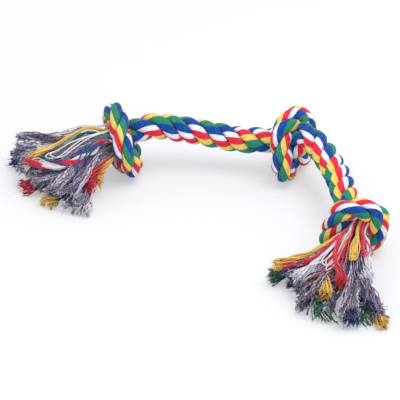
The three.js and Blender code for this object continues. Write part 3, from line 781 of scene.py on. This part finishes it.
def add_lock(skin, fan, tail, row, column, habit, settings, random):
    """A coloured lock: fine yarns that lie twisted together and come apart towards their ends."""
    turn_root, turn_tip, rise, long, wide, *twine = habit
    count = settings.lock_yarns
    share = np.linspace(0, 1, LOCK_RINGS)
    length = fan["lengths"][column] * long
    span = random.uniform(0.95, 1.0, (count, 1)) * length
    away = -TASSEL_ROOT + share * (span + TASSEL_ROOT)
    reach = spread_at(away)
    leans, width = leans_of(fan)
    foot, stack = stack_at(fan, tail, column, reach)
    rows = len(fan["locks"])
    tall = stack / rows
    out = smooth(away, 0, length)
    wander = LOCK_WANDER * width * np.sin(math.pi * out * random.uniform(1, 2) + random.uniform(0, 6)) * out
    bearing = leans[column] + np.radians(turn_root + (turn_tip - turn_root) * out)
    height = foot + tall * (rows - row - 0.5) + rise * smooth(away, -TASSEL_ROOT, 0.15 * length)
    if not twine:
        bearing = bearing + wander
    middle, beside = fan_line(fan, tail, bearing, away, height)
    for place in twine:
        round_others = 2 * math.pi * (away / TWINE_PITCH + place)
        middle = middle + (TWINE_RADIUS * np.cos(round_others))[..., None] * beside
        middle[..., 2] += TWINE_RADIUS * np.sin(round_others)
    radius = np.sqrt(random.uniform(0, 1, (count, 1)))
    angle = random.uniform(0, 2 * math.pi, (count, 1))
    angle = angle + 2 * math.pi * random.choice((-1, 1)) * random.uniform(0.7, 1.2) * share
    opening = 0.8 + 0.9 * smooth(share, 0.6, 1) * random.uniform(0.4, 1.3, (count, 1))
    flutter = settings.wave * smooth(share, 0.25, 0.9) * random.uniform(0.1, 0.8, (count, 1))
    stray = random.uniform(0, 1, (count, 1)) < STRAY_SHARE
    flutter = np.where(stray, STRAY_FLUTTER, 1) * flutter
    half = reach * width / 2 * wide + LOCK_NECK
    sideways = half * opening * radius * np.cos(angle)
    upward = np.minimum(tall / 2, half) * opening * radius * np.sin(angle)
    paths = middle + (sideways + flutter * waves(random, count, share, *FLUTTER_WAVES))[..., None] * beside
    paths[..., 2] += upward + 0.8 * flutter * waves(random, count, share, *FLUTTER_WAVES)
    add_frayed(skin, paths, settings.yarn_radius, LOCK_FIBRES, random.uniform(0, 1, (count, 2)), settings, random)


def add_core(skin, fan, tail, column, habit, settings, random):
    """A strand's grey core: tufts of crimped waste yarn that lie over each other, down to the floor."""
    count, tufts = settings.core_yarns, settings.core_tufts
    share = np.linspace(0, 1, CORE_RINGS)
    leans, width = leans_of(fan)
    tuft = random.integers(0, tufts, count)
    across = random.uniform(-1, 1, (tufts, 1))
    edge = CORE_EDGE * width
    lean = np.clip(leans[column] + CORE_LEAN * width * across, leans[0] - edge, leans[-1] + edge)
    length = (np.interp(lean, leans, fan["lengths"]) * random.uniform(0.84, 1.0, (tufts, 1)))[tuft]
    span = random.uniform(0.94, 1.0, (count, 1)) * length
    away = -TASSEL_ROOT + share * (span + TASSEL_ROOT)
    foot, stack = stack_at(fan, tail, column, spread_at(away))
    level = (random.uniform(0, 1, (tufts, 1)) ** 0.6 * (1 - 0.25 * across ** 2))[tuft]
    spread = smooth(away, 0, 0.4 * length)
    sway = (CORE_SWAY * width * waves(random, tufts, share, 0.5, 1.1))[tuft]
    bearing = lean[tuft] + (sway + CORE_WANDER * width * waves(random, count, share, 0.6, 1.6)) * spread
    height = foot + stack * (0.5 + (level * 0.96 - 0.5) * (0.8 + 0.2 * spread))
    height = height + habit[2] * level * smooth(away, -TASSEL_ROOT, 0.25 * length)
    paths, beside = fan_line(fan, tail, bearing, away, height)
    turn = (random.uniform(0, 1, (tufts, 1)) + random.uniform(0.6, 1.4, (tufts, 1)) * share)[tuft]
    angle = 2 * math.pi * (turn + random.uniform(0, 1, (count, 1)))
    thick = settings.tuft * np.sqrt(random.uniform(0, 1, (count, 1))) * (0.4 + 0.6 * spread)
    crimp = settings.crimp * smooth(share, 0.1, 0.4) * random.uniform(0.3, 1.2, (count, 1))
    sideways = thick * np.cos(angle) + crimp * waves(random, count, share, *CRIMP_WAVES)
    paths = paths + sideways[..., None] * beside
    paths[..., 2] += 0.8 * thick * np.sin(angle) + crimp * waves(random, count, share, *CRIMP_WAVES)
    paths[..., 2] += settings.wave * waves(random, count, share, 0.8, 2) * smooth(share, 0.2, 0.6)
    tone = random.uniform(0, 1, tufts)[tuft] + random.normal(0, TONE_SPREAD, count)
    tone = np.clip(tone, 0, 1) ** fan["dark"] * GREY_SHARE
    tone = np.where(random.uniform(0, 1, count) < fan["stray"], random.uniform(GREY_SHARE, 1, count), tone)
    draws = np.stack([tone, random.uniform(0, 1, count)], axis=1)
    add_frayed(skin, paths, settings.core_radius, CORE_FIBRES, draws, settings, random)


def add_loops(skin, fan, tail, loop, settings, random):
    """Yarns that lie over the tassel in loops: out, round and back into the knot."""
    turn, reach, width, count = loop
    share = np.linspace(0, 1, LOOP_RINGS)
    far = reach * random.uniform(0.75, 1.0, (count, 1))
    away = -TASSEL_ROOT + (far + TASSEL_ROOT) * np.sin(math.pi * share) ** 0.8
    column = int(np.abs(leans_of(fan)[0] - math.radians(turn)).argmin())
    foot, stack = stack_at(fan, tail, column, spread_at(away))
    height = foot + stack + fan["loop_rise"] + random.uniform(-0.001, 0.002, (count, 1))
    bearing = math.radians(turn) + random.normal(0, 0.07, (count, 1)) + 0.04 * waves(random, count, share, 1, 2)
    paths, beside = fan_line(fan, tail, bearing, away, height)
    open_to = width / 2 * random.uniform(0.3, 1.0, (count, 1)) * smooth(away, 0, far)
    paths = paths + (-np.cos(math.pi * share) * open_to * 1.4)[..., None] * beside
    paths[..., 2] += settings.wave * 0.6 * waves(random, count, share, *FLUTTER_WAVES) * np.sin(math.pi * share)
    thickness = np.full(paths.shape[:2], settings.yarn_radius * LOOP_THICK)
    add_yarns(skin, paths, thickness, LOOP_SIDES, random.uniform(0, 1, (count, 2)))


def add_frayed(skin, paths, radius, fibres, draws, settings, random):
    """Yarns along their paths, kept above the floor, and the fibres that they come apart into at their ends."""
    count, rings = paths.shape[:2]
    paths[..., 2] = np.maximum(paths[..., 2], radius)
    thickness = np.broadcast_to(radius * random.uniform(0.75, 1.2, (count, 1)), (count, rings))
    add_yarns(skin, paths, thickness, YARN_SIDES, draws)
    ends = paths[:, -3:]
    step = unit(ends[:, -1] - ends[:, 0])[:, None]
    grow = np.linspace(0, 1, FIBRE_RINGS)
    for _ in range(fibres):
        aside = random.normal(0, 0.5, (count, 1, 3)) * grow[:, None]
        far = settings.fray * random.uniform(0.4, 1.1, (count, 1, 1))
        line = ends[:, 1:2] + (step + aside) * grow[:, None] * far
        line[..., 2] = np.maximum(line[..., 2], radius / 2)
        thin = radius * np.broadcast_to(np.linspace(0.7, 0.35, FIBRE_RINGS), (count, FIBRE_RINGS))
        add_yarns(skin, line, thin, FIBRE_SIDES, draws)


def add_yarns(skin, paths, thickness, sides, draws):
    """Round tubes along many paths of the same count of points."""
    normals, across = sides_of(unit(np.gradient(paths, axis=1)))
    angle = np.linspace(0, 2 * math.pi, sides, endpoint=False)[:, None]
    rim = np.cos(angle) * normals[:, :, None] + np.sin(angle) * across[:, :, None]
    grid = paths[:, :, None] + rim * thickness[:, :, None, None]
    steps = np.linalg.norm(np.diff(paths, axis=1), axis=2)
    along = np.concatenate([np.zeros((len(paths), 1)), np.cumsum(steps, axis=1)], axis=1)
    around = np.broadcast_to(np.arange(sides) / sides, grid.shape[:3])
    skin.add(grid, np.stack([around, np.broadcast_to(along[..., None], grid.shape[:3])], axis=-1), draws)


class ROPETOY_OT_set_stage(bpy.types.Operator):
    """Sets the pale floor, the soft light and the camera"""

    bl_idname = "ropetoy.set_stage"
    bl_label = "Set Stage"

    def execute(self, context):
        scene = context.scene
        settings = scene.toy_stage
        scene.view_settings.view_transform = "Standard"

        mesh = bpy.data.meshes.new("floor")
        corners = [(x * FLOOR_HALF, y * FLOOR_HALF, 0) for x, y in ((-1, -1), (1, -1), (1, 1), (-1, 1))]
        mesh.from_pydata(corners, [], [(0, 1, 2, 3)])
        material = new_material("floor_paper")
        tree = Tree(material.node_tree)
        shader = tree.node("ShaderNodeBsdfPrincipled", {
            "Base Color": (*settings.floor, 1), "Roughness": 0.8, "Specular IOR Level": 0.1})
        rays = tree.node("ShaderNodeLightPath").outputs
        seen = tree.math("MAXIMUM", rays["Is Camera Ray"], rays["Is Glossy Ray"])
        seen = tree.math("MAXIMUM", seen, rays["Is Transmission Ray"])
        white = tree.node("ShaderNodeEmission")
        paper = tree.node("ShaderNodeMixShader", {
            0: tree.times(seen, FLOOR_GLOW), 1: shader.outputs[0], 2: white.outputs[0]})
        tree.node("ShaderNodeOutputMaterial", {0: paper.outputs[0]})
        mesh.materials.append(material)
        floor = placed("floor", mesh)

        world = bpy.data.worlds.new("soft_room")
        world.use_nodes = True
        background = world.node_tree.nodes["Background"].inputs
        background["Color"].default_value = SKY_COLOUR
        background["Strength"].default_value = settings.sky
        scene.world = world

        aim = Vector(AIM) + Vector(FRAME_SHIFT)
        data = bpy.data.lights.new("overhead_lamp", "AREA")
        data.shape, data.size, data.energy = "DISK", LAMP_SIZE, settings.lamp
        lamp = placed("overhead_lamp", data)
        lamp.location = aim + Vector(LAMP_FROM_AIM)
        lamp.rotation_euler = (aim - lamp.location).to_track_quat("-Z", "Y").to_euler()

        data = bpy.data.cameras.new("camera")
        data.lens, data.sensor_width = settings.focal_length, SENSOR_WIDTH
        camera = placed("camera", data)
        back = Vector((0, -math.cos(settings.elevation), math.sin(settings.elevation)))
        camera.location = aim + back * settings.distance
        camera.rotation_euler = (-back).to_track_quat("-Z", "Y").to_euler()
        scene.camera = camera
        return {"FINISHED"}


class ROPETOY_PT_panel(bpy.types.Panel):
    """Sizes, colours and steps of the rope toy"""

    bl_idname = "ROPETOY_PT_panel"
    bl_label = "Rope Toy"
    bl_space_type = "VIEW_3D"
    bl_region_type = "UI"
    bl_category = "Rope Toy"

    def draw(self, context):
        for group in (getattr(context.scene, setting) for setting in SETTINGS):
            box = self.layout.box()
            for name in group.bl_rna.properties.keys():
                if name not in ("rna_type", "name"):
                    box.prop(group, name)
        self.layout.operator("ropetoy.lay_rope")
        for side in TASSELS:
            self.layout.operator("ropetoy.fray_tassel", text=f"Fray {side.title()} Tassel").side = side
        self.layout.operator("ropetoy.set_stage")


SETTINGS = {"toy_rope": ToyRope, "toy_tassel": ToyTassel, "toy_colours": ToyColours, "toy_stage": ToyStage}
CLASSES = (
    *SETTINGS.values(), ROPETOY_OT_lay_rope, ROPETOY_OT_fray_tassel, ROPETOY_OT_set_stage, ROPETOY_PT_panel)


def register():
    for made in CLASSES:
        bpy.utils.register_class(made)
    for setting, group in SETTINGS.items():
        setattr(bpy.types.Scene, setting, bpy.props.PointerProperty(type=group))


def unregister():
    for setting in SETTINGS:
        delattr(bpy.types.Scene, setting)
    for made in reversed(CLASSES):
        bpy.utils.unregister_class(made)


def main():
    register()
    bpy.ops.ropetoy.set_stage()
    bpy.ops.ropetoy.lay_rope()
    for side in TASSELS:
        bpy.ops.ropetoy.fray_tassel(side=side)


if __name__ == "__main__":
    main()
